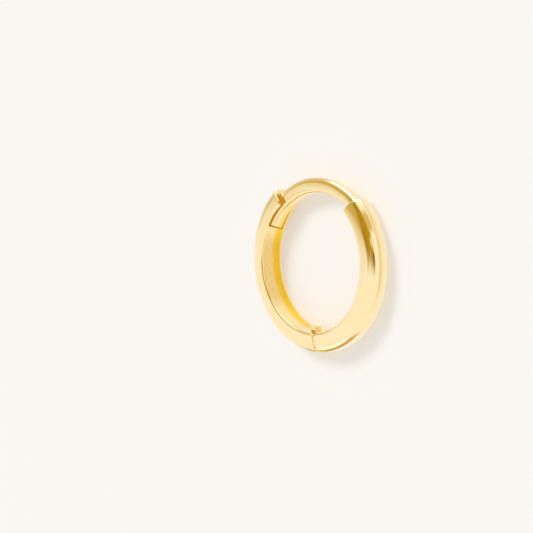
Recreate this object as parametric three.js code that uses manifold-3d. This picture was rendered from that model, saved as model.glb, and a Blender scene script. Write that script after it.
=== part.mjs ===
import * as THREE from 'three';
import { mergeVertices } from 'three/addons/utils/BufferGeometryUtils.js';
import Module from 'manifold-3d';

// A huggie hoop earring lying on its side, in millimetres. The hoop's axis is Z, the ear wire arches over
// the +Y side, the hinge is at -Y, and the half that opens is at +X.

// Hoop: a flat-sided section with a domed outside
const boreRadius = 4.9;
const flankThickness = 1.25;
const hingeThickness = 1.35;
const hoopWidth = 1.8;
const sideFaceHeight = 0.62;
const innerEdgeRound = 0.06;

// Ends of the two halves, in degrees round the hoop from +X, and how their edges are rounded
const shoulderAngle = 48;
const catchAngle = 128.6;
const shoulderRound = 0.22;
const catchRound = 0.1;
const endEdgeRound = 0.05;

// Ear wire. Its inner and outer edges are arcs through three places. Each place is an angle, and how far
// the edge stands outside the bore there, as a share of the flank's thickness.
const wireWidth = 0.98;
const wireInnerRound = 0.22;
const wireOuterRound = 0.4;
const wireTipRound = 0.1;
const wireTipAngle = 153.4;
const wirePlaces = [
	{ angle: shoulderAngle, inner: 0.18, outer: 0.77 },
	{ angle: 90, inner: - 0.1, outer: 0.7 },
	{ angle: wireTipAngle, inner: - 0.13, outer: 0.56 },
];

// Slot in the catch half that takes the ear wire
const slotSideClearance = 0.1;
const slotFloorClearance = 0.2;
const slotEndClearance = 0.08;

// Hinge
const seamOffset = 0.35;
const seamGap = 0.04;
const seamRound = 0.18;
const seamInnerRound = 0.3;
const pinDepth = 0.62;
const pinRadius = 0.18;
const pinClearance = 0.025;
const earRadius = 0.36;
const tongueBelowOutside = 0.07;
const knuckleClearance = 0.03;
const tongueWidth = 0.54;
const earWidth = 0.27;
const reliefAngle = 30;
const tongueRise = 0.19;
const earRise = 0.16;
const stopRise = 0.46;
const stopLength = 0.46;
const stopSetback = 0.36;
const stopRound = 0.12;

// Fineness of the round shapes
const degreesPerStation = 4;
const domeSteps = 18;
const cornerSteps = 3;
const wireCornerSteps = 5;
const roundSteps = 4;
const curveSegments = 8;

const radians = THREE.MathUtils.degToRad;
const wasm = await Module();
wasm.setup();

// Turns a closed three.js geometry into a solid for cutting and joining.
function solid( geometry ) {

	const bare = geometry.clone();
	bare.deleteAttribute( 'normal' );
	bare.deleteAttribute( 'uv' );
	const merged = mergeVertices( bare, 1e-5 );
	return new wasm.Manifold( new wasm.Mesh( {
		numProp: 3,
		vertProperties: new Float32Array( merged.attributes.position.array ),
		triVerts: new Uint32Array( merged.index.array ),
	} ) );

}

// Points along part of an ellipse, both ends included.
function ellipsePoints( x, y, radiusX, radiusY, from, to, steps ) {

	const points = [];
	for ( let i = 0; i <= steps; i ++ ) {

		const angle = radians( from + ( to - from ) * i / steps );
		points.push( new THREE.Vector2( x + radiusX * Math.cos( angle ), y + radiusY * Math.sin( angle ) ) );

	}

	return points;

}

// A closed body through sections set round the hoop. Each station has an angle and its section's points,
// as radius and height above the hoop's middle plane, counterclockwise.
function bodyRoundHoop( stations ) {

	const positions = [];
	const index = [];
	const count = stations[ 0 ].section.length;
	for ( const { angle, section } of stations ) {

		for ( const point of section ) {

			positions.push( point.x * Math.cos( radians( angle ) ), point.x * Math.sin( radians( angle ) ), point.y );

		}

	}

	for ( let i = 0; i < stations.length - 1; i ++ ) {

		for ( let j = 0; j < count; j ++ ) {

			const here = i * count + j;
			const beside = i * count + ( j + 1 ) % count;
			index.push( here, here + count, beside + count, here, beside + count, beside );

		}

	}

	const last = ( stations.length - 1 ) * count;
	for ( const [ a, b, c ] of THREE.ShapeUtils.triangulateShape( stations[ 0 ].section, [] ) ) {

		index.push( a, b, c );
		index.push( last + a, last + c, last + b );

	}

	const geometry = new THREE.BufferGeometry();
	geometry.setAttribute( 'position', new THREE.Float32BufferAttribute( positions, 3 ) );
	geometry.setIndex( index );
	return solid( geometry );

}

// A flat outline made into a plate, from one height to another above the hoop's middle plane.
function plate( shape, low, high ) {

	const geometry = new THREE.ExtrudeGeometry( shape, { depth: high - low, bevelEnabled: false, curveSegments } );
	return solid( geometry.translate( 0, 0, low ) );

}

// Angles from one end to the other in even steps.
function evenAngles( from, to ) {

	const steps = Math.ceil( Math.abs( to - from ) / degreesPerStation );
	return Array.from( { length: steps + 1 }, ( _, i ) => from + ( to - from ) * i / steps );

}

// Angles at which a rounded end needs a section, from where the rounding starts to the end itself.
function roundedEnd( end, towards, round, radius ) {

	const angles = [];
	for ( let i = 0; i <= roundSteps; i ++ ) {

		const distance = round * ( 1 - Math.sin( radians( 90 * i / roundSteps ) ) );
		angles.push( end + Math.sign( towards - end ) * THREE.MathUtils.radToDeg( distance / radius ) );

	}

	return angles;

}

// How far a rounding of this radius has drawn the surface in, at a distance from the end.
function drawIn( round, distance ) {

	if ( distance >= round ) return 0;
	return round - Math.sqrt( round ** 2 - ( round - distance ) ** 2 );

}

// The hoop's outside is an ellipse, a little deeper at the hinge than at the flanks.
function hoopOutside( angle ) {

	const acrossRadius = boreRadius + flankThickness;
	const downRadius = boreRadius + hingeThickness;
	const turn = radians( angle );
	return acrossRadius * downRadius / Math.hypot( downRadius * Math.cos( turn ), acrossRadius * Math.sin( turn ) );

}

function hoopSection( angle, domeInset, edgeInset ) {

	const inside = boreRadius + edgeInset;
	const waist = boreRadius + sideFaceHeight;
	const half = hoopWidth / 2 - edgeInset;
	const domeHeight = hoopOutside( angle ) - waist - domeInset;
	const edge = innerEdgeRound;
	return [
		...ellipsePoints( inside + edge, edge - half, edge, edge, 180, 270, cornerSteps ),
		...ellipsePoints( waist, 0, domeHeight, half, - 90, 90, domeSteps ),
		...ellipsePoints( inside + edge, half - edge, edge, edge, 90, 180, cornerSteps ),
	];

}

// One half of the hoop as a plain shell: its free end is rounded, and the other end runs on past the seam.
function halfHoop( freeEnd, seamEnd, round ) {

	const middleRadius = boreRadius + flankThickness / 2;
	const rounded = roundedEnd( freeEnd, seamEnd, round, middleRadius );
	const angles = [ ...evenAngles( seamEnd, rounded[ 0 ] ), ...rounded.slice( 1 ) ];
	angles.sort( ( a, b ) => a - b );
	return bodyRoundHoop( angles.map( ( angle ) => {

		const distance = radians( Math.abs( angle - freeEnd ) ) * middleRadius;
		return { angle, section: hoopSection( angle, drawIn( round, distance ), drawIn( endEdgeRound, distance ) ) };

	} ) );

}

// Circle through the ear wire's three places, for its inner or outer edge.
function wireArc( edge ) {

	const [ a, b, c ] = wirePlaces.map( ( place ) => {

		const radius = boreRadius + place[ edge ] * flankThickness;
		return new THREE.Vector2( radius, 0 ).rotateAround( new THREE.Vector2(), radians( place.angle ) );

	} );
	const turn = 2 * ( a.x * ( b.y - c.y ) + b.x * ( c.y - a.y ) + c.x * ( a.y - b.y ) );
	const centre = new THREE.Vector2(
		( a.lengthSq() * ( b.y - c.y ) + b.lengthSq() * ( c.y - a.y ) + c.lengthSq() * ( a.y - b.y ) ) / turn,
		( a.lengthSq() * ( c.x - b.x ) + b.lengthSq() * ( a.x - c.x ) + c.lengthSq() * ( b.x - a.x ) ) / turn,
	);
	return { centre, radius: centre.distanceTo( a ) };

}

const wireInner = wireArc( 'inner' );
const wireOuter = wireArc( 'outer' );

// Distance from the hoop's centre to an arc, at an angle round the hoop.
function radiusToArc( arc, angle ) {

	const along = arc.centre.x * Math.cos( radians( angle ) ) + arc.centre.y * Math.sin( radians( angle ) );
	return along + Math.sqrt( arc.radius ** 2 - arc.centre.lengthSq() + along ** 2 );

}

// The ear wire's section, fully rounded towards the outside.
function wireSection( inside, outside, half, inner, outer ) {

	return [
		...ellipsePoints( inside + inner, inner - half, inner, inner, 180, 270, wireCornerSteps ),
		...ellipsePoints( outside - outer, outer - half, outer, outer, 270, 360, wireCornerSteps ),
		...ellipsePoints( outside - outer, half - outer, outer, outer, 0, 90, wireCornerSteps ),
		...ellipsePoints( inside + inner, half - inner, inner, inner, 90, 180, wireCornerSteps ),
	];

}

function earWire() {

	const root = shoulderAngle - THREE.MathUtils.radToDeg( shoulderRound * 1.5 / boreRadius );
	const rounded = roundedEnd( wireTipAngle, root, wireTipRound, boreRadius );
	const angles = [ ...evenAngles( root, rounded[ 0 ] ), ...rounded.slice( 1 ) ];
	return bodyRoundHoop( angles.map( ( angle ) => {

		const inset = drawIn( wireTipRound, radians( wireTipAngle - angle ) * boreRadius );
		const inside = radiusToArc( wireInner, angle ) + inset;
		const outside = radiusToArc( wireOuter, angle ) - inset;
		const half = wireWidth / 2 - inset;
		return { angle, section: wireSection( inside, outside, half, wireInnerRound - inset, wireOuterRound - inset ) };

	} ) );

}

// The slot follows the ear wire, is open towards the bore, and stops just past the wire's tip.
function wireSlot() {

	const half = wireWidth / 2 + slotSideClearance;
	const open = boreRadius - flankThickness;
	const end = wireTipAngle + THREE.MathUtils.radToDeg( slotEndClearance / boreRadius );
	return bodyRoundHoop( evenAngles( catchAngle - degreesPerStation, end ).map( ( angle ) => {

		const floor = radiusToArc( wireOuter, angle ) + slotFloorClearance;
		return { angle, section: [
			new THREE.Vector2( open, - half ),
			new THREE.Vector2( floor, - half ),
			new THREE.Vector2( floor, half ),
			new THREE.Vector2( open, half ),
		] };

	} ) );

}

// Hinge places in the hoop's plane
const pin = new THREE.Vector2( seamOffset, - boreRadius - pinDepth );
const boreBottom = - boreRadius;
const tongueRadius = hingeThickness - pinDepth - tongueBelowOutside;
const clearOfHoop = boreBottom + stopRise * 2;
const belowHoop = - boreRadius - hingeThickness * 2;
const tongueHalf = tongueWidth / 2;
const earLow = tongueHalf + knuckleClearance;
const earHigh = earLow + earWidth;
const beyondHoop = hoopWidth;

// What is cut from a half at the seam, on the side given as -1 or 1. Below the pin the cut leans back, so
// that the hoop can open, and the corners at the bore and the outside are rounded.
function seamCut( side ) {

	const face = pin.x - side * seamGap / 2;
	const slope = Math.tan( radians( reliefAngle / 2 ) );
	const bottom = - boreRadius - hingeThickness;
	const bottomX = face - side * slope * ( pin.y - bottom );
	const height = bottom * Math.sqrt( 1 - ( bottomX / ( boreRadius + flankThickness ) ) ** 2 );
	const corner = new THREE.Vector2( face - side * slope * ( pin.y - height ), height );
	const innerX = face - side * seamInnerRound;
	const innerTop = - Math.sqrt( boreRadius ** 2 - innerX ** 2 );
	const shape = new THREE.Shape();
	shape.moveTo( innerX, clearOfHoop );
	shape.lineTo( innerX, innerTop );
	shape.quadraticCurveTo( face, innerTop, face, innerTop - seamInnerRound );
	shape.lineTo( face, pin.y );
	shape.lineTo( corner.x + side * slope * seamRound, corner.y + seamRound );
	shape.quadraticCurveTo( corner.x, corner.y, corner.x - side * seamRound, corner.y );
	shape.lineTo( corner.x - side * seamRound, belowHoop );
	shape.lineTo( pin.x + side * boreRadius / 2, belowHoop );
	shape.lineTo( pin.x + side * boreRadius / 2, clearOfHoop );
	return plate( shape, - beyondHoop, beyondHoop );

}

// Room for the other half's knuckle, open towards the bore.
function knuckleRoom( side, knuckle, low, high ) {

	const radius = knuckle + knuckleClearance;
	const shape = new THREE.Shape();
	shape.moveTo( pin.x + side * radius, clearOfHoop );
	shape.lineTo( pin.x + side * radius, pin.y );
	shape.absarc( pin.x, pin.y, radius, side > 0 ? 0 : Math.PI, side > 0 ? Math.PI : 0, side > 0 );
	shape.lineTo( pin.x - side * radius, clearOfHoop );
	return plate( shape, low, high );

}

// The catch half's middle knuckle, with the raised stop beside it.
function tongue() {

	const stopEnd = pin.x - stopSetback;
	const root = stopEnd - stopLength;
	const top = boreBottom + tongueRise;
	const stopTop = boreBottom + stopRise;
	const shape = new THREE.Shape();
	shape.moveTo( root, pin.y );
	shape.lineTo( pin.x - seamRound * 1.5, pin.y - tongueRadius );
	shape.lineTo( pin.x, pin.y - tongueRadius );
	shape.absarc( pin.x, pin.y, tongueRadius, - Math.PI / 2, 0, false );
	shape.absellipse( pin.x, pin.y, tongueRadius, top - pin.y, 0, Math.PI / 2, false );
	shape.lineTo( stopEnd, top );
	shape.lineTo( stopEnd, stopTop - stopRound );
	shape.quadraticCurveTo( stopEnd, stopTop, stopEnd - stopRound, stopTop );
	shape.lineTo( root + stopRound, stopTop );
	shape.quadraticCurveTo( root, stopTop, root, stopTop - stopRound );
	return plate( shape, - tongueHalf, tongueHalf );

}

// One of the post half's two outer knuckles, which rises a little over the bore.
function ear( low, high ) {

	const top = boreBottom + earRise;
	const foot = pin.x + earRadius * 2.2;
	const shape = new THREE.Shape();
	shape.absarc( pin.x, pin.y, earRadius, radians( 120 ), Math.PI * 2, false );
	shape.lineTo( foot, pin.y );
	shape.lineTo( foot, boreBottom );
	shape.quadraticCurveTo( foot - earRadius / 2, top, pin.x + earRadius / 2, top );
	shape.quadraticCurveTo( pin.x - earRadius / 3, top, pin.x - earRadius / 3, boreBottom );
	return plate( shape, low, high );

}

function rod( radius, length ) {

	const geometry = new THREE.CylinderGeometry( radius, radius, length, 24 );
	geometry.rotateX( Math.PI / 2 );
	return geometry;

}

function pinBore() {

	const bore = rod( pinRadius + pinClearance, 2 * earHigh + seamGap );
	return solid( bore.translate( pin.x, pin.y, 0 ) );

}

const pastSeam = THREE.MathUtils.radToDeg( ( earRadius + seamOffset ) * 2 / boreRadius );

function catchHalf() {

	return halfHoop( catchAngle, 270 + pastSeam, catchRound )
		.subtract( wireSlot() )
		.subtract( seamCut( 1 ) )
		.subtract( knuckleRoom( - 1, earRadius, tongueHalf, earHigh + knuckleClearance ) )
		.subtract( knuckleRoom( - 1, earRadius, - earHigh - knuckleClearance, - tongueHalf ) )
		.add( tongue() )
		.subtract( pinBore() );

}

function postHalf() {

	return halfHoop( shoulderAngle, - 90 - pastSeam, shoulderRound )
		.subtract( seamCut( - 1 ) )
		.subtract( knuckleRoom( 1, tongueRadius, - earLow, earLow ) )
		.add( ear( earLow, earHigh ) )
		.add( ear( - earHigh, - earLow ) )
		.add( earWire() )
		.subtract( pinBore() );

}

// Gold, as bright as the photograph's
function gold( color, roughness ) {

	return new THREE.MeshStandardMaterial( { color, roughness, metalness: 1 } );

}

function mesh( name, made, material ) {

	const { vertProperties, triVerts } = made.getMesh();
	const geometry = new THREE.BufferGeometry();
	geometry.setAttribute( 'position', new THREE.BufferAttribute( vertProperties, 3 ) );
	geometry.setIndex( new THREE.BufferAttribute( triVerts, 1 ) );
	geometry.computeVertexNormals();
	const piece = new THREE.Mesh( geometry, material );
	piece.name = name;
	return piece;

}

// The hoop lies on its side face, with the middle of its outline over the origin.
const hoop = new THREE.Group();
const crownHeight = wireOuter.centre.y + wireOuter.radius;
const hingeDepth = boreRadius + hingeThickness;
hoop.position.set( 0, ( hingeDepth - crownHeight ) / 2, hoopWidth / 2 );
hoop.add( mesh( 'catch_half', catchHalf(), gold( 0xe6bf6a, 0.16 ) ) );
hoop.add( mesh( 'post_half', postHalf(), gold( 0xe8c470, 0.14 ) ) );

const hingePin = new THREE.Mesh( rod( pinRadius, 2 * earHigh ), gold( 0xcfa552, 0.3 ) );
hingePin.name = 'hinge_pin';
hingePin.position.set( pin.x, pin.y, 0 );
hoop.add( hingePin );

const group = new THREE.Group();
group.add( hoop );

export default group;
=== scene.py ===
import math

import bmesh
import bpy
import numpy as np
from mathutils import Matrix, Vector


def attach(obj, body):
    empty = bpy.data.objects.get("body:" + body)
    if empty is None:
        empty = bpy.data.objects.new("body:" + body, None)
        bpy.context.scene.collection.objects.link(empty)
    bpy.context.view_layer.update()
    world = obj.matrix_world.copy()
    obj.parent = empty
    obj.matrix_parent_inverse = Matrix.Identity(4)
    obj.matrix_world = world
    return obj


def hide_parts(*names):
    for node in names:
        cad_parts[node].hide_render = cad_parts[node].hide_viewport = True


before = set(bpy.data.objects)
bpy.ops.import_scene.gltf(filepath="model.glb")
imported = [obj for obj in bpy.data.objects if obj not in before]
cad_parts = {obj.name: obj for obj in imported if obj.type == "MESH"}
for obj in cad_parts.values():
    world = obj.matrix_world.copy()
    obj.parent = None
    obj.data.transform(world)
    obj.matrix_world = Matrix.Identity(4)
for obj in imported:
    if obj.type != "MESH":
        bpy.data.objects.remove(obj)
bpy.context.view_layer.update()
scene = bpy.context.scene
print("frame loaded:", ", ".join(sorted(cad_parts)))

mm = 0.001

# sizes are in mm round the hoop's own middle, with its axis along Z, and angles are in degrees
hoop = {
    "boreRadius": 4.9,
    "flank": 1.25,  # thickness of metal at the sides
    "bottomFlank": 1.35,  # and at the hinge
    "halfWidth": 0.9,
    "innerRound": 0.1,
    "fullness": 3.0,  # 2 is an ellipse; more is squarer
    "domeSteps": 110,
    "domeSamples": 4001,
    "degreesApart": 1.5,
}
channel = {
    "lip": 0.04,  # rounding of its edges
    "fillet": 0.035,  # and of its corners
    "support": 0.008,  # from a rounding to the next point
    "points": 27,  # across the bore face, with or without a channel
    "plainInset": 0.01,
}


def smoothRise(value, low, high):
    t = min(1.0, max(0.0, (value - low) / (high - low)))
    return t * t * (3 - 2 * t)


def arc(x, y, radiusX, radiusY, start, stop, steps):
    turn = np.radians(np.linspace(start, stop, steps + 1))
    return np.stack([x + radiusX * np.cos(turn), y + radiusY * np.sin(turn)], axis=1)


def quadratic(a, b, c, steps):
    t = np.linspace(0, 1, steps + 1)[:, None]
    return (1 - t) ** 2 * np.array(a) + 2 * t * (1 - t) * np.array(b) + t ** 2 * np.array(c)


def drawIn(rounding, distance):
    # how far a rounding has drawn a face in, this far from the end
    if distance >= rounding:
        return 0.0
    return rounding - math.sqrt(rounding ** 2 - (rounding - distance) ** 2)


def quarterSteps(rounding, steps=7):
    # distances from the end at which a rounding has its stations
    return [rounding * (1 - math.sin(math.radians(90 * i / steps))) for i in range(steps + 1)]


def outsideAt(angle):
    across = hoop["boreRadius"] + hoop["flank"]
    down = hoop["boreRadius"] + hoop["bottomFlank"]
    turn = math.radians(angle)
    return across * down / math.hypot(down * math.cos(turn), across * math.sin(turn))


def domeCurve(reach, half, start, steps):
    # a rounded side, crown and far side as one even curve, from this far out of the bore and back
    power = 2 / hoop["fullness"]
    turn = np.radians(np.linspace(-90, 90, hoop["domeSamples"]))
    out = reach * np.cos(turn) ** power
    high = half * np.sign(turn) * np.abs(np.sin(turn)) ** power
    kept = out >= start
    out, high = out[kept], high[kept]
    run = np.concatenate([[0], np.cumsum(np.hypot(np.diff(out), np.diff(high)))])
    even = np.linspace(0, run[-1], steps + 1)
    return np.stack([np.interp(even, run, out), np.interp(even, run, high)], axis=1)


def innerFace(inside, top, slot):
    # from the upper edge of the bore face to the lower one, with or without a channel down its middle
    lip, fillet, support = channel["lip"], channel["fillet"], channel["support"]
    if slot is None:
        rows = np.linspace(top - channel["plainInset"], channel["plainInset"] - top, channel["points"])
        return np.stack([np.full(channel["points"], inside), rows], axis=1)
    half, floor = slot
    upper = np.concatenate([
        [[inside, (top + half + lip) / 2], [inside, half + lip + support]],
        arc(inside + lip, half + lip, lip, lip, 180, 270, 4),
        [[inside + lip + support, half], [floor - fillet - support, half]],
        arc(floor - fillet, half - fillet, fillet, fillet, 90, 0, 2),
        [[floor, half - fillet - support]],
    ])
    lower = upper[::-1] * [1, -1]
    return np.concatenate([upper, [[floor, 0.0]], lower])


def hoopSection(outside, domeIn=0.0, edgeIn=0.0, slot=None, boreIn=0.0):
    # distance from the hoop's axis and height; slot is a channel's half width and its floor's radius
    inside = hoop["boreRadius"] + edgeIn + boreIn
    half = hoop["halfWidth"] - edgeIn
    edge = hoop["innerRound"]
    reach = outside - hoop["boreRadius"] - domeIn
    dome = domeCurve(reach, half, edge + edgeIn + boreIn, hoop["domeSteps"])
    return np.concatenate([
        arc(inside + edge, edge - half, edge, edge, 180, 270, 5)[:-1],
        dome + [hoop["boreRadius"], 0],
        arc(inside + edge, half - edge, edge, edge, 90, 180, 5)[1:],
        innerFace(inside, half - edge, slot),
    ])


def placeSection(section, angleAt):
    turn = np.radians([angleAt(r) for r in section[:, 0]])
    return np.stack([section[:, 0] * np.cos(turn), section[:, 0] * np.sin(turn), section[:, 1]], axis=1)


def placeAcross(section, angle):
    return placeSection(section, lambda radius: angle)


# the ear wire's inner and outer edges are circles through three places
earWire = {
    "halfWidth": 0.49,
    "innerRound": 0.22,
    "outerRound": (0.34, 0.3),  # along the radius and across the width
    "leastSide": 0.02,  # left between the roundings
    "tipSpread": 0.05,  # how much wider each side grows towards the tip
    "spreadOver": (118, 150),
    "tipLean": 1.3,  # degrees that the tip's near corner falls short of its middle
    "leanOver": (140, 152),
    "tipRound": 0.1,
    "tipAngle": 153.4,
    "rootAngle": 44.0,
    "inner": [(48, 0.18), (90, -0.1), (153.4, -0.13)],  # angle, and share of the flank outside the bore
    "outer": [(48, 0.77), (90, 0.7), (153.4, 0.56)],
    "degreesApart": 1.2,
    "cornerSteps": 12,
}


def circleThrough(places):
    spots = []
    for angle, share in places:
        radius = hoop["boreRadius"] + share * hoop["flank"]
        spots.append(radius * np.array([math.cos(math.radians(angle)), math.sin(math.radians(angle))]))
    a, b, c = spots
    turn = 2 * (a[0] * (b[1] - c[1]) + b[0] * (c[1] - a[1]) + c[0] * (a[1] - b[1]))
    x = (a @ a * (b[1] - c[1]) + b @ b * (c[1] - a[1]) + c @ c * (a[1] - b[1])) / turn
    y = (a @ a * (c[0] - b[0]) + b @ b * (a[0] - c[0]) + c @ c * (b[0] - a[0])) / turn
    return np.array([x, y]), math.hypot(a[0] - x, a[1] - y)


wireInner = circleThrough(earWire["inner"])
wireOuter = circleThrough(earWire["outer"])


def radiusTo(circle, angle):
    centre, radius = circle
    along = centre[0] * math.cos(math.radians(angle)) + centre[1] * math.sin(math.radians(angle))
    return along + math.sqrt(radius ** 2 - centre @ centre + along ** 2)


def leaned(places, angle):
    # turns the near side of a section back and its far side on, more and more towards the wire's tip
    share = smoothRise(angle, *earWire["leanOver"])
    turn = -math.radians(earWire["tipLean"]) * share * places[:, 2] / earWire["halfWidth"]
    x = places[:, 0] * np.cos(turn) - places[:, 1] * np.sin(turn)
    y = places[:, 0] * np.sin(turn) + places[:, 1] * np.cos(turn)
    return np.stack([x, y, places[:, 2]], axis=1)


crown = wireOuter[0][1] + wireOuter[1]
hoopMiddle = np.array([0, (hoop["boreRadius"] + hoop["bottomFlank"] - crown) / 2, hoop["halfWidth"]])


def newMesh(name, points, faces, flatFaces):
    mesh = bpy.data.meshes.new(name)
    mesh.from_pydata(((points + hoopMiddle) * mm).tolist(), [], faces)
    mesh.polygons.foreach_set("use_smooth", [i not in flatFaces for i in range(len(faces))])
    return mesh


def loft(stations):
    # stations are point rings of one length; the first and the last are closed by one flat face each
    count = len(stations[0])
    points = np.concatenate(stations)
    faces = []
    for i in range(len(stations) - 1):
        for j in range(count):
            k = (j + 1) % count
            faces.append((i * count + j, (i + 1) * count + j, (i + 1) * count + k, i * count + k))
    last = (len(stations) - 1) * count
    caps = {len(faces), len(faces) + 1}
    faces.append(tuple(reversed(range(count))))
    faces.append(tuple(last + j for j in range(count)))
    return points, faces, caps


joining = {
    "weld": 2e-7,  # in metres
    "sharpAngle": 38,
}


def joined(name, parts, body, node):
    # puts several point-and-face sets into one smooth piece that stands in for its CAD node
    points, faces, flat = [], [], set()
    start = 0
    for partPoints, partFaces, partFlat in parts:
        flat |= {i + len(faces) for i in partFlat}
        faces += [tuple(start + j for j in face) for face in partFaces]
        points.append(partPoints)
        start += len(partPoints)
    mesh = newMesh(name, np.concatenate(points), faces, flat)
    shape = bmesh.new()
    shape.from_mesh(mesh)
    bmesh.ops.remove_doubles(shape, verts=shape.verts, dist=joining["weld"])
    bmesh.ops.recalc_face_normals(shape, faces=shape.faces)
    for edge in shape.edges:
        if len(edge.link_faces) == 2 and edge.calc_face_angle(0) > math.radians(joining["sharpAngle"]):
            edge.smooth = False
        if any(not face.smooth for face in edge.link_faces):
            edge.smooth = False
    shape.to_mesh(mesh)
    shape.free()
    piece = bpy.data.objects.new(name, mesh)
    scene.collection.objects.link(piece)
    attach(piece, body)
    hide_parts(node)
    return piece


def plate(outline, low, high, bevel):
    # a flat outline with rounded rims; the outline runs counterclockwise
    outline = np.array(outline)
    ahead = np.roll(outline, -1, axis=0) - outline
    ahead /= np.linalg.norm(ahead, axis=1)[:, None]
    side = np.stack([-ahead[:, 1], ahead[:, 0]], axis=1)
    inward = side + np.roll(side, 1, axis=0)
    inward /= np.maximum(np.linalg.norm(inward, axis=1)[:, None], 1e-9)
    rings = []
    for degrees in (0, 30, 60, 90):
        turn = math.radians(degrees)
        rings.append((bevel * (1 - math.sin(turn)), bevel * (1 - math.cos(turn))))
    heights = [(low + rise, inset) for inset, rise in rings]
    heights += [(high - rise, inset) for inset, rise in rings[::-1]]
    level = np.ones(len(outline))
    return loft([np.column_stack([outline + inward * inset, z * level]) for z, inset in heights])


hinge = {
    "seamX": 0.35,
    "seamGap": 0.04,
    "seamRound": 0.18,
    "seamRoundDepth": 0.4,  # share of the rounding that the crown falls in
    "seamSideRound": 0.02,
    "seamInnerRound": 0.3,
    "seamSteps": 14,
    "seamRounds": 12,
    "parallelUpTo": 1.3,  # stations up to this far from the middle are parallel to the seam
    "radialFrom": 2.6,  # and from here on they stand along the hoop's radius
    "relief": 15,  # lean of each half's end face, outside the pin
    "pinY": -5.52,
    "earRadius": 0.36,
    "earFoot": 2.2,  # length of an ear's foot, in ear radii
    "earWidth": 0.27,
    "earTop": -4.74,
    "earBevel": 0.02,
    "tongueRadius": 0.63,
    "tongueHeel": 0.27,
    "tongueHalf": 0.27,
    "tongueTop": -4.71,
    "tongueFillet": 0.05,
    "tongueBevel": 0.025,
    "stopTop": -4.44,
    "stopLength": 0.46,
    "stopSetback": 0.36,
    "stopRound": 0.12,
    "clearance": 0.03,
    "roomLeastDepth": 0.15,
    "roomLeastWall": 0.015,
}
earLow = hinge["tongueHalf"] + hinge["clearance"]
earHigh = earLow + hinge["earWidth"]
farFromEnd = 9.0


def seamAngle(radius, x0, slope):
    # closes in on where a plane that leans outside the pin is this far from the hoop's axis
    x = x0
    y = -radius
    for _ in range(hinge["seamRounds"]):
        y = -math.sqrt(radius ** 2 - x ** 2)
        x = x0 + slope * max(0.0, hinge["pinY"] - y)
    return math.degrees(math.atan2(y, x))


def roomFloor(x0, slope, radius):
    # radius round the hoop of a round room's floor, in the plane that starts at x0
    k = x0 - hinge["seamX"]
    under = (slope * k) ** 2 - (1 + slope ** 2) * (k ** 2 - radius ** 2)
    t = (-slope * k + math.sqrt(max(0.0, under))) / (1 + slope ** 2)
    return math.hypot(x0 + slope * t, hinge["pinY"] - t)


def seamStation(x0, slope, distance=farFromEnd, room=None, turn=0):
    # distance is how far this station is from the end face; room is a hinge room's half width and radius
    blend = smoothRise(hinge["radialFrom"] - abs(x0), 0, hinge["radialFrom"] - hinge["parallelUpTo"])
    straight = math.degrees(math.asin(x0 / -hinge["pinY"])) - 90

    def angleAt(radius):
        return turn + blend * seamAngle(radius, x0, slope) + (1 - blend) * straight

    domeIn = drawIn(hinge["seamRound"], distance) * hinge["seamRoundDepth"]
    boreIn = drawIn(hinge["seamInnerRound"], distance)
    slot = None
    if room:
        low = hoop["boreRadius"] + boreIn + hinge["roomLeastDepth"]
        high = outsideAt(straight) - domeIn - hinge["roomLeastWall"]
        slot = (room[0], min(max(roomFloor(x0, slope, room[1]), low), high))
    edgeIn = drawIn(hinge["seamSideRound"], distance)
    return placeSection(hoopSection(outsideAt(straight), domeIn, edgeIn, slot, boreIn), angleAt)


catchHalf = {
    "endAngle": 128.6,
    "endRound": 0.1,
    "endInnerRound": 0.24,  # on the corners between the end face and the bore
    "endSteps": 12,
    "edgeRound": 0.05,
    "slotHalf": 0.65,
    "slotSpread": 0.08,  # how much wider each side of the slot grows below its mouth
    "spreadOver": (131, 142),
    "slotFloor": 0.1,  # clear of the ear wire
    "slotDegreesApart": 1.3,
    "slotMargins": (0.4, 0.3),  # degrees left free after the mouth and before the slot's end
    "slotEndGap": 0.58,  # degrees from the ear wire's clearance to the slot's end
    "slotEndStep": 0.1,  # depth of the channel at its last station
    "slotEndRun": 0.3,  # degrees in which it closes
    "plainFrom": 4.0,  # degrees beyond the slot
    "radialTo": 243.0,
    "seamReach": -2.5,
    "seamStep": 0.11,
    "seamMargin": 0.05,
}


def slotHalfAt(angle):
    return catchHalf["slotHalf"] + catchHalf["slotSpread"] * smoothRise(angle, *catchHalf["spreadOver"])


def slotStations(slotStop):
    # from the catch's mouth to the end of its slot
    size = catchHalf
    middle = hoop["boreRadius"] + hoop["flank"] / 2
    mouth = quarterSteps(size["endInnerRound"], size["endSteps"])[::-1]
    angles = [size["endAngle"] + math.degrees(distance / middle) for distance in mouth]
    after, before = size["slotMargins"]
    angles += list(np.arange(angles[-1] + after, slotStop - before, size["slotDegreesApart"])) + [slotStop]
    stations = []
    for angle in angles:
        distance = math.radians(angle - size["endAngle"]) * middle
        domeIn = drawIn(size["endRound"], distance)
        edgeIn = drawIn(size["edgeRound"], distance)
        boreIn = drawIn(size["endInnerRound"], distance)
        slot = (slotHalfAt(angle) + edgeIn, radiusTo(wireOuter, angle) + size["slotFloor"] + edgeIn)
        section = hoopSection(outsideAt(angle), domeIn, edgeIn, slot, boreIn)
        stations.append(leaned(placeAcross(section, angle), angle))
    lastSlot = (slotHalfAt(slotStop), hoop["boreRadius"] + size["slotEndStep"])
    for angle, slot in ((slotStop, lastSlot), (slotStop + size["slotEndRun"], None)):
        stations.append(leaned(placeAcross(hoopSection(outsideAt(angle), slot=slot), angle), slotStop))
    return stations


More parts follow.
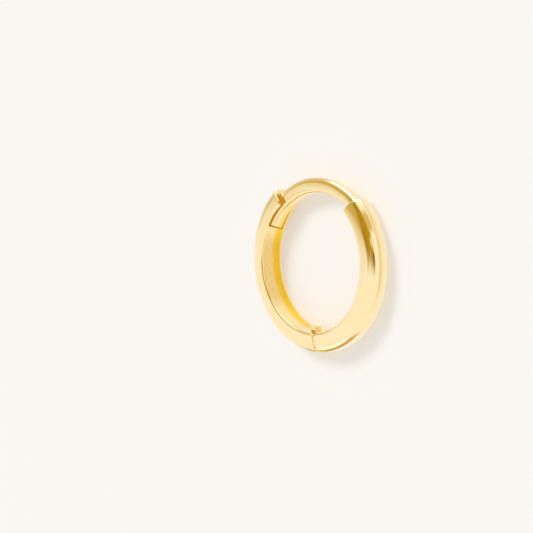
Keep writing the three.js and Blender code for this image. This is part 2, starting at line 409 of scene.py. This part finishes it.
def catchStations():
    size = catchHalf
    clearAngle = math.degrees(hinge["clearance"] / hoop["boreRadius"])
    slotStop = earWire["tipAngle"] + clearAngle + size["slotEndGap"]
    stations = slotStations(slotStop)
    for angle in np.arange(slotStop + size["plainFrom"], size["radialTo"], hoop["degreesApart"]):
        stations.append(placeAcross(hoopSection(outsideAt(angle)), angle))
    faceX = hinge["seamX"] - hinge["seamGap"] / 2
    slope = -math.tan(math.radians(hinge["relief"]))
    room = hinge["earRadius"] + hinge["clearance"]
    roomBack = hinge["seamX"] - room
    for x in [*np.arange(size["seamReach"], roomBack - size["seamMargin"], size["seamStep"]), roomBack]:
        stations.append(seamStation(x, slope, turn=360))
    rounded = [faceX - distance for distance in quarterSteps(hinge["seamInnerRound"], hinge["seamSteps"])]
    for x in [roomBack, (roomBack + rounded[0]) / 2, *rounded]:
        stations.append(seamStation(x, slope, faceX - x, (earHigh + hinge["clearance"], room), 360))
    return stations


def tongueOutline():
    x, y, r = hinge["seamX"], hinge["pinY"], hinge["tongueRadius"]
    stopEnd = x - hinge["stopSetback"]
    root = stopEnd - hinge["stopLength"]
    top, stopTop, rounding = hinge["tongueTop"], hinge["stopTop"], hinge["stopRound"]
    fillet = hinge["tongueFillet"]
    return np.concatenate([
        [[root, y], [x - hinge["tongueHeel"], y - r]],
        arc(x, y, r, r, -90, 0, 20),
        arc(x, y, r, top - y, 0, 90, 20)[1:],
        quadratic([stopEnd + fillet, top], [stopEnd, top], [stopEnd, top + fillet], 5),
        quadratic([stopEnd, stopTop - rounding], [stopEnd, stopTop], [stopEnd - rounding, stopTop], 7),
        quadratic([root + rounding, stopTop], [root, stopTop], [root, stopTop - rounding], 7),
    ])


def earOutline():
    x, y, r = hinge["seamX"], hinge["pinY"], hinge["earRadius"]
    foot, bore, top = x + r * hinge["earFoot"], -hoop["boreRadius"], hinge["earTop"]
    return np.concatenate([
        arc(x, y, r, r, 120, 360, 30),
        [[foot, y]],
        quadratic([foot, bore], [foot - r / 2, top], [x + r / 2, top], 12),
        quadratic([x + r / 2, top], [x - r / 3, top], [x - r / 3, bore], 12)[1:],
    ])


catchBody = loft(catchStations())
tongue = plate(tongueOutline(), -hinge["tongueHalf"], hinge["tongueHalf"], hinge["tongueBevel"])
catchPiece = joined("catchHalfGold", [catchBody, tongue], "catch_body", "catch_half")
print("catch half:", len(catchPiece.data.polygons), "faces")

postHalf = {
    "shoulderAngle": 48.0,
    "shoulderRound": 0.22,
    "shoulderSteps": 12,
    "edgeRound": 0.05,
    "seamReach": 2.55,
    "seamStep": 0.12,
    "seamMargin": 0.1,
    "roomStations": 6,
    "radialFrom": 2.62,
}


def postStations():
    size = postHalf
    slope = math.tan(math.radians(hinge["relief"]))
    faceX = hinge["seamX"] + hinge["seamGap"] / 2
    room = hinge["tongueRadius"] + hinge["clearance"]
    roomBack = hinge["seamX"] + room
    seamSteps = quarterSteps(hinge["seamInnerRound"], hinge["seamSteps"])[::-1]
    rounded = [faceX + distance for distance in seamSteps]
    stations = []
    for x in [*rounded, *np.linspace(rounded[-1], roomBack, size["roomStations"])[1:]]:
        stations.append(seamStation(x, slope, x - faceX, (earLow, room)))
    for x in [roomBack, *np.arange(roomBack + size["seamMargin"], size["seamReach"], size["seamStep"])]:
        stations.append(seamStation(x, slope))
    middle = hoop["boreRadius"] + hoop["flank"] / 2
    shoulderSteps = quarterSteps(size["shoulderRound"], size["shoulderSteps"])
    rounded = [size["shoulderAngle"] - math.degrees(distance / middle) for distance in shoulderSteps]
    start = math.degrees(math.asin(size["radialFrom"] / -hinge["pinY"])) - 90
    steps = int((rounded[0] - start) / hoop["degreesApart"])
    for angle in [*np.linspace(start, rounded[0], steps)[:-1], *rounded]:
        distance = math.radians(size["shoulderAngle"] - angle) * middle
        domeIn = drawIn(size["shoulderRound"], distance)
        edgeIn = drawIn(size["edgeRound"], distance)
        stations.append(placeAcross(hoopSection(outsideAt(angle), domeIn, edgeIn), angle))
    return stations


def wireStations():
    size = earWire
    tipSteps = quarterSteps(size["tipRound"])
    rounded = [size["tipAngle"] - math.degrees(distance / hoop["boreRadius"]) for distance in tipSteps]
    steps = int((rounded[0] - size["rootAngle"]) / size["degreesApart"])
    n = size["cornerSteps"]
    stations = []
    for angle in [*np.linspace(size["rootAngle"], rounded[0], steps)[:-1], *rounded]:
        inset = drawIn(size["tipRound"], math.radians(size["tipAngle"] - angle) * hoop["boreRadius"])
        low, high = radiusTo(wireInner, angle) + inset, radiusTo(wireOuter, angle) - inset
        half = size["halfWidth"] + size["tipSpread"] * smoothRise(angle, *size["spreadOver"]) - inset
        inner = size["innerRound"] - inset
        out = min(size["outerRound"][0] - inset, high - low - inner - size["leastSide"])
        over = size["outerRound"][1] - inset
        section = np.concatenate([
            arc(low + inner, inner - half, inner, inner, 180, 270, n),
            arc(high - out, over - half, out, over, 270, 360, n),
            arc(high - out, half - over, out, over, 0, 90, n),
            arc(low + inner, half - inner, inner, inner, 90, 180, n),
        ])
        stations.append(leaned(placeAcross(section, angle), angle))
    return stations


postBody = loft(postStations())
wirePart = loft(wireStations())
ears = [plate(earOutline(), low, low + hinge["earWidth"], hinge["earBevel"]) for low in (earLow, -earHigh)]
postPiece = joined("postHalfGold", [postBody, wirePart, *ears], "post_body", "post_half")
print("post half:", len(postPiece.data.polygons), "faces")

# the narrow rooms in which light only passes from gold to gold; their faces get painted bounce light, a
# glowing orange in place of the polish
recess = {
    "catchSpan": (125, 158),
    "belowBore": 0.06,
    "floorMargin": 0.03,
    "sideMargin": 0.004,
    "hingeReach": 0.42,  # beyond the tongue
}


def inCatchSlot(spot):
    turn = math.degrees(math.atan2(spot[1], spot[0])) % 360
    low = hoop["boreRadius"] + recess["belowBore"]
    high = radiusTo(wireOuter, turn) + catchHalf["slotFloor"] + recess["floorMargin"]
    first, last = recess["catchSpan"]
    inWidth = abs(spot[2]) < slotHalfAt(turn) + catchHalf["edgeRound"]
    return first < turn < last and inWidth and low < math.hypot(spot[0], spot[1]) < high


def inHingeRoom(spot):
    # the tongue's and the ears' round ends keep their polish, because they show when the hoop is open
    fromPin = math.hypot(spot[0] - hinge["seamX"], spot[1] - hinge["pinY"])
    near = fromPin < hinge["tongueRadius"] + recess["hingeReach"]
    below = math.hypot(spot[0], spot[1]) > hoop["boreRadius"] + recess["belowBore"]
    high, halfGap = abs(spot[2]), hinge["clearance"] / 2
    if high < hinge["tongueHalf"] + halfGap:
        knuckle = fromPin < hinge["tongueRadius"] + halfGap
    else:
        knuckle = high < earHigh + halfGap and fromPin < hinge["earRadius"] + halfGap
    return near and below and high < earHigh + hinge["clearance"] + recess["sideMargin"] and not knuckle


def markRecess(piece, rooms):
    # the smooth faces in these rooms take the second material, with its painted bounce light
    for face in piece.data.polygons:
        spot = np.array(face.center) / mm - hoopMiddle
        face.material_index = 1 if face.use_smooth and any(inRoom(spot) for inRoom in rooms) else 0


goldLooks = {
    "pale": (0.97, 0.80, 0.46, 1),
    "smudgeAndPaintedReflection": (0.96, 0.60, 0.04, 1),  # painted reflection: how gold looks where it mirrors itself, inside the hoop; also the tint that the smudges mix in
    # painted bounce light: the flat orange of the faces in the slot and hinge rooms
    "recess": (1.0, 0.76, 0.16, 1),
    "recessRoughness": 0.4,
    "recessPaintedGlow": 0.1,  # painted bounce light: a glow in place of the many bounces from gold to gold
    "roughness": 0.05,
    "lineRoughness": 0.03,
    "smudgeRoughness": 0.02,
    "smudgeTint": 0.18,
    "smudgeRange": (0.3, 0.7),
    "lineStrength": 0.25,
    "lineHeight": 0.0000006,  # in metres
    "castingWaves": 60.0,  # times the height of the polishing lines
    "runRadius": 5.5,  # where the run round the hoop is measured, in mm
}
pinLooks = {
    "pale": (0.85, 0.62, 0.28, 1),
    # the colour that the painted reflection mask and the smudges mix in
    "smudgeAndPaintedReflection": (0.8, 0.45, 0.08, 1),
    "roughness": 0.25,
    "lineHeight": 0.000001,
}
lineLooks = {
    "scale": 1.0,
    "detail": 2.0,
    "hairScale": 2.6,
    "hairWidth": 0.012,
    "smudgeScale": 0.9,
    "smudgeDetail": 3.0,
}
# where the bore's painted reflection lies, and the size of its casting waves
boreReflectionAndWaveLooks = {
    "boreEdge": (0.01, 0.09),  # mm outside the bore face
    "farRise": (-0.42, 0.12),  # heights from the hoop's middle plane, in mm
    "nearEdge": (0.74, 0.86),
    "waveScale": 2.4,
    "waveDetail": 1.5,
}


def newGroup(name, inputs, outputs):
    group = bpy.data.node_groups.new(name, "ShaderNodeTree")
    for label, value in inputs:
        socket = group.interface.new_socket(name=label, in_out="INPUT", socket_type="NodeSocketFloat")
        socket.default_value = value
    for label, kind in outputs:
        group.interface.new_socket(name=label, in_out="OUTPUT", socket_type=kind)
    return group, group.nodes.new("NodeGroupInput").outputs, group.nodes.new("NodeGroupOutput").inputs


def calc(tree, operation, *values):
    node = tree.nodes.new("ShaderNodeMath")
    node.operation = operation
    for i, value in enumerate(values):
        if isinstance(value, (int, float)):
            node.inputs[i].default_value = value
        else:
            tree.links.new(value, node.inputs[i])
    return node.outputs[0]


def ramp(tree, value, low, high, smooth=True):
    node = tree.nodes.new("ShaderNodeMapRange")
    node.interpolation_type = "SMOOTHSTEP" if smooth else "LINEAR"
    node.inputs["From Min"].default_value = low
    node.inputs["From Max"].default_value = high
    tree.links.new(value, node.inputs["Value"])
    return node.outputs["Result"]


def fall(tree, value, low, high):
    return calc(tree, "SUBTRACT", 1.0, ramp(tree, value, low, high))


def mixColour(tree, factor, a, b):
    node = tree.nodes.new("ShaderNodeMix")
    node.data_type = "RGBA"
    for value, place in ((factor, 0), (a, 6), (b, 7)):
        if isinstance(value, (int, float, tuple)):
            node.inputs[place].default_value = value
        else:
            tree.links.new(value, node.inputs[place])
    return node.outputs[2]


def vectorCalc(tree, operation, source, name, value):
    node = tree.nodes.new("ShaderNodeVectorMath")
    node.operation = operation
    tree.links.new(source, node.inputs[0])
    node.inputs[name].default_value = value
    return node


def noise(tree, source, scale, detail):
    node = tree.nodes.new("ShaderNodeTexNoise")
    node.inputs["Scale"].default_value = scale
    node.inputs["Detail"].default_value = detail
    tree.links.new(source, node.inputs["Vector"])
    return node.outputs["Fac"]


def useGroup(tree, group):
    node = tree.nodes.new("ShaderNodeGroup")
    node.node_tree = group
    return node.outputs


def hoopPlaces():
    # distance from the hoop's axis, height over its middle plane and run round the hoop, all in mm
    group, _, result = newGroup("hoopPlaces", [], [
        ("Radius", "NodeSocketFloat"),
        ("Height", "NodeSocketFloat"),
        ("Run", "NodeSocketFloat"),
        ("Place", "NodeSocketVector"),
    ])
    coords = group.nodes.new("ShaderNodeTexCoord").outputs["Object"]
    scaled = vectorCalc(group, "SCALE", coords, "Scale", 1 / mm)
    moved = vectorCalc(group, "SUBTRACT", scaled.outputs[0], 1, tuple(hoopMiddle))
    split = group.nodes.new("ShaderNodeSeparateXYZ")
    group.links.new(moved.outputs[0], split.inputs[0])
    x, y, z = split.outputs
    square = calc(group, "ADD", calc(group, "MULTIPLY", x, x), calc(group, "MULTIPLY", y, y))
    radius = calc(group, "SQRT", square)
    run = calc(group, "MULTIPLY", calc(group, "ARCTAN2", y, x), goldLooks["runRadius"])
    for value, label in ((radius, "Radius"), (z, "Height"), (run, "Run"), (moved.outputs[0], "Place")):
        group.links.new(value, result[label])
    return group


def polishLines(places):
    # very fine lines left by the polishing wheel, running round the hoop, and a few stray hair scratches
    inputs = [("Across", 26.0), ("Along", 0.9), ("Hairs", 0.5)]
    outputs = [("Lines", "NodeSocketFloat"), ("Smudge", "NodeSocketFloat")]
    group, given, result = newGroup("polishLines", inputs, outputs)
    where = useGroup(group, places)
    packed = group.nodes.new("ShaderNodeCombineXYZ")
    for i, (label, stretch) in enumerate((("Radius", "Across"), ("Height", "Across"), ("Run", "Along"))):
        group.links.new(calc(group, "MULTIPLY", where[label], given[stretch]), packed.inputs[i])
    lines = noise(group, packed.outputs[0], lineLooks["scale"], lineLooks["detail"])
    hairs = group.nodes.new("ShaderNodeTexVoronoi")
    hairs.feature = "DISTANCE_TO_EDGE"
    hairs.inputs["Scale"].default_value = lineLooks["hairScale"]
    group.links.new(where["Place"], hairs.inputs["Vector"])
    onHair = fall(group, hairs.outputs["Distance"], 0.0, lineLooks["hairWidth"])
    hairMask = calc(group, "MULTIPLY", onHair, given["Hairs"])
    smudge = noise(group, where["Place"], lineLooks["smudgeScale"], lineLooks["smudgeDetail"])
    group.links.new(calc(group, "SUBTRACT", lines, hairMask), result["Lines"])
    group.links.new(smudge, result["Smudge"])
    return group


def borePaintedReflectionAndWaves(places):
    # painted reflection mask: 0 on the outside, rising to 1 on the bore face towards the side that the hoop
    # lies on, where the deep colour stands in for gold mirroring gold
    inputs = [("Bore Radius", hoop["boreRadius"]), ("Near Share", 0.2)]
    outputs = [("Painted Reflection", "NodeSocketFloat"), ("Unevenness", "NodeSocketFloat")]
    group, given, result = newGroup("borePaintedReflectionAndWaves", inputs, outputs)
    where = useGroup(group, places)
    depth = calc(group, "SUBTRACT", where["Radius"], given["Bore Radius"])
    onBore = fall(group, depth, *boreReflectionAndWaveLooks["boreEdge"])
    far = fall(group, where["Height"], *boreReflectionAndWaveLooks["farRise"])
    farShare = calc(group, "MULTIPLY", far, calc(group, "SUBTRACT", 1.0, given["Near Share"]))
    share = calc(group, "ADD", given["Near Share"], farShare)
    edge = fall(group, where["Height"], *boreReflectionAndWaveLooks["nearEdge"])
    group.links.new(calc(group, "MULTIPLY", calc(group, "MULTIPLY", onBore, share), edge), result["Painted Reflection"])
    # the inside keeps the soft waves of the casting
    waves = noise(group, where["Place"], boreReflectionAndWaveLooks["waveScale"], boreReflectionAndWaveLooks["waveDetail"])
    group.links.new(calc(group, "MULTIPLY", onBore, waves), result["Unevenness"])
    return group


places = hoopPlaces()
linesGroup = polishLines(places)
boreReflectionAndWavesGroup = borePaintedReflectionAndWaves(places)


def newMaterial(name):
    material = bpy.data.materials.new(name)
    material.use_nodes = True
    return material, material.node_tree, material.node_tree.nodes["Principled BSDF"].inputs


def goldMaterial(name, looks):
    material, tree, shader = newMaterial(name)
    shader["Metallic"].default_value = 1.0
    lines = useGroup(tree, linesGroup)
    boreReflectionAndWaves = useGroup(tree, boreReflectionAndWavesGroup)
    # painted reflection: the bore's far side takes the deep orange of gold mirroring gold
    base = mixColour(tree, boreReflectionAndWaves["Painted Reflection"], looks["pale"], looks["smudgeAndPaintedReflection"])
    shade = ramp(tree, lines["Smudge"], *goldLooks["smudgeRange"], smooth=False)
    tinted = mixColour(tree, calc(tree, "MULTIPLY", shade, goldLooks["smudgeTint"]), base, looks["smudgeAndPaintedReflection"])
    tree.links.new(tinted, shader["Base Color"])
    lineRough = calc(tree, "MULTIPLY", lines["Lines"], goldLooks["lineRoughness"])
    smudgeRough = calc(tree, "MULTIPLY", shade, goldLooks["smudgeRoughness"])
    rough = calc(tree, "ADD", calc(tree, "ADD", looks["roughness"], lineRough), smudgeRough)
    tree.links.new(rough, shader["Roughness"])
    bump = tree.nodes.new("ShaderNodeBump")
    bump.inputs["Strength"].default_value = goldLooks["lineStrength"]
    bump.inputs["Distance"].default_value = looks["lineHeight"]
    waves = calc(tree, "MULTIPLY", boreReflectionAndWaves["Unevenness"], goldLooks["castingWaves"])
    tree.links.new(calc(tree, "ADD", lines["Lines"], waves), bump.inputs["Height"])
    tree.links.new(bump.outputs["Normal"], shader["Normal"])
    return material


def recessBounceLightMaterial():
    # painted bounce light: a dull orange that glows, in place of polished gold in the narrow rooms
    material, _, shader = newMaterial("recessBounceLight")
    shader["Base Color"].default_value = goldLooks["recess"]
    shader["Metallic"].default_value = 0.0
    shader["Roughness"].default_value = goldLooks["recessRoughness"]
    shader["Emission Color"].default_value = goldLooks["recess"]
    shader["Emission Strength"].default_value = goldLooks["recessPaintedGlow"]
    return material


gold = goldMaterial("polishedGold", goldLooks)
pinGold = goldMaterial("pinGold", pinLooks)
recessBounceLight = recessBounceLightMaterial()
for piece, rooms in ((catchPiece, (inCatchSlot, inHingeRoom)), (postPiece, (inHingeRoom,))):
    piece.data.materials.append(gold)
    piece.data.materials.append(recessBounceLight)
    markRecess(piece, rooms)
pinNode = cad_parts["hinge_pin"]
pinNode.data.materials.clear()
pinNode.data.materials.append(pinGold)
print("gold done")

floorLooks = {
    "size": 4.0,  # in metres
    "colour": (0.93, 0.905, 0.87, 1),
    "roughness": 0.6,
    "specular": 0.2,
    "glow": 0.33,  # as on a lit table, so shadows stay light
}


def buildFloor():
    bpy.ops.mesh.primitive_plane_add(size=floorLooks["size"], location=(0, 0, 0))
    floor = bpy.context.object
    floor.name = "paleFloor"
    material, _, shader = newMaterial("paleFloor")
    shader["Base Color"].default_value = floorLooks["colour"]
    shader["Roughness"].default_value = floorLooks["roughness"]
    shader["Specular IOR Level"].default_value = floorLooks["specular"]
    shader["Emission Color"].default_value = floorLooks["colour"]
    shader["Emission Strength"].default_value = floorLooks["glow"]
    floor.data.materials.append(material)
    floor.visible_glossy = False  # the polish mirrors the surround below the horizon too


buildFloor()

# a white surround with soft cards, which give the gold its streaks
surround = {
    "white": (1.03, 1.04, 1.10, 1),
    "plain": (0.50, 0.498, 0.496, 1),  # what lights the floor, with the key light
    "cards": [
        # round: bearing and height of its middle, and how far from there its soft edge starts and ends
        {"bearing": 96, "height": 62, "outer": 38, "inner": 24, "colour": (0.44, 0.28, 0.02, 1)},
        {"bearing": 34, "height": 48, "outer": 37, "inner": 17, "colour": (0.53, 0.34, 0.02, 1)},
        {"bearing": 144, "height": 44, "outer": 33, "inner": 18, "colour": (0.64, 0.50, 0.18, 1)},
        # upright: half widths in bearing and height, outside which the soft edge lies
        # fade is a wider soft edge at the sides
        {"bearing": 152, "height": -6, "wide": 20, "tall": 28, "edge": 12, "colour": (0.77, 0.69, 0.48, 1)},
        {"bearing": 95, "height": -6, "wide": 18, "tall": 20, "edge": 11, "colour": (1.9, 2.0, 2.3, 1)},
        {"bearing": 47, "height": 4, "wide": 7, "tall": 24, "edge": 10, "colour": (0.74, 0.60, 0.30, 1)},
        {"bearing": 25, "height": 30, "wide": 2.5, "tall": 14, "edge": 7, "colour": (0.90, 0.82, 0.66, 1)},
        {"bearing": -118, "height": 15, "wide": 12, "tall": 4, "edge": 10, "colour": (1.25, 1.35, 1.7, 1)},
        {"bearing": -117, "height": -18, "wide": 22, "tall": 12, "edge": 11, "colour": (0.62, 0.48, 0.22, 1)},
        {"bearing": 15, "height": -39, "wide": 35, "tall": 1, "edge": 8, "fade": 45,
         "colour": (0.86, 0.77, 0.57, 1)},
        {"bearing": 0, "height": 26, "outer": 17, "inner": 9, "colour": (0.74, 0.56, 0.22, 1)},
        {"bearing": 4, "height": 30, "outer": 9.5, "inner": 5.5, "colour": (0.02, 0.008, 0.0, 1)},
    ],
}


def roundMask(tree, towards, card):
    turn, lift = math.radians(card["bearing"]), math.radians(card["height"])
    middle = (math.cos(lift) * math.cos(turn), math.cos(lift) * math.sin(turn), math.sin(lift))
    facing = vectorCalc(tree, "DOT_PRODUCT", towards, 1, middle).outputs["Value"]
    return ramp(tree, facing, math.cos(math.radians(card["outer"])), math.cos(math.radians(card["inner"])))


def uprightMask(tree, bearing, height, card):
    turned = calc(tree, "WRAP", calc(tree, "SUBTRACT", bearing, card["bearing"]), 180, -180)
    off = calc(tree, "ABSOLUTE", turned)
    rise = calc(tree, "ABSOLUTE", calc(tree, "SUBTRACT", height, card["height"]))
    fade = card.get("fade", card["edge"])
    across = fall(tree, off, card["wide"], card["wide"] + fade)
    along = fall(tree, rise, card["tall"], card["tall"] + card["edge"])
    return calc(tree, "MULTIPLY", across, along)


def buildSurround():
    world = bpy.data.worlds.new("studioWhite")
    world.use_nodes = True
    tree = world.node_tree
    background = tree.nodes["Background"].inputs
    towards = tree.nodes.new("ShaderNodeTexCoord").outputs["Generated"]
    split = tree.nodes.new("ShaderNodeSeparateXYZ")
    tree.links.new(towards, split.inputs[0])
    bearing = calc(tree, "DEGREES", calc(tree, "ARCTAN2", split.outputs[1], split.outputs[0]))
    height = calc(tree, "DEGREES", calc(tree, "ARCSINE", split.outputs[2]))
    mirrored = surround["white"]
    for card in surround["cards"]:
        if "outer" in card:
            mask = roundMask(tree, towards, card)
        else:
            mask = uprightMask(tree, bearing, height, card)
        mirrored = mixColour(tree, mask, mirrored, card["colour"])
    # the cards show in the polish alone, so the floor stays even
    rays = tree.nodes.new("ShaderNodeLightPath").outputs
    choice = mixColour(tree, rays["Is Glossy Ray"], surround["plain"], mirrored)
    tree.links.new(choice, background["Color"])
    background["Strength"].default_value = 1.0
    scene.world = world


keyLight = {"energy": 0.85, "spread": 24, "from": (-0.34, 0.6, 0.75)}


def buildKey():
    # one soft light from above the hoop, which the polish doesn't mirror
    data = bpy.data.lights.new("softKey", "SUN")
    data.energy = keyLight["energy"]
    data.angle = math.radians(keyLight["spread"])
    key = bpy.data.objects.new("softKey", data)
    key.rotation_euler = Vector(keyLight["from"]).to_track_quat("Z", "Y").to_euler()
    key.visible_glossy = False
    scene.collection.objects.link(key)


buildSurround()
buildKey()
scene.view_settings.view_transform = "Standard"
print("light done")

view = {
    "yaw": 46.76,
    "rise": 5.18,
    "distance": 132.3,
    "lens": 129.9,
    "sensor": 36,
    "shift": (-0.0979, -0.0091),
    "clip": (0.005, 20),
}


def buildCamera():
    # the camera stands at the photograph's angle to the hoop
    yaw, rise = math.radians(view["yaw"]), math.radians(view["rise"])
    back = Vector((math.sin(yaw) * math.cos(rise), math.sin(rise), math.cos(yaw) * math.cos(rise)))
    right = Vector((math.cos(yaw), 0, -math.sin(yaw)))
    up = back.cross(right)
    data = bpy.data.cameras.new("camera")
    data.sensor_width = view["sensor"]
    data.lens = view["lens"]
    data.shift_x, data.shift_y = view["shift"]
    data.clip_start, data.clip_end = view["clip"]
    camera = bpy.data.objects.new("camera", data)
    scene.collection.objects.link(camera)
    eye = (Vector(hoopMiddle) + back * view["distance"]) * mm
    camera.matrix_world = Matrix.Translation(eye) @ Matrix((right, up, back)).transposed().to_4x4()
    scene.camera = camera


buildCamera()
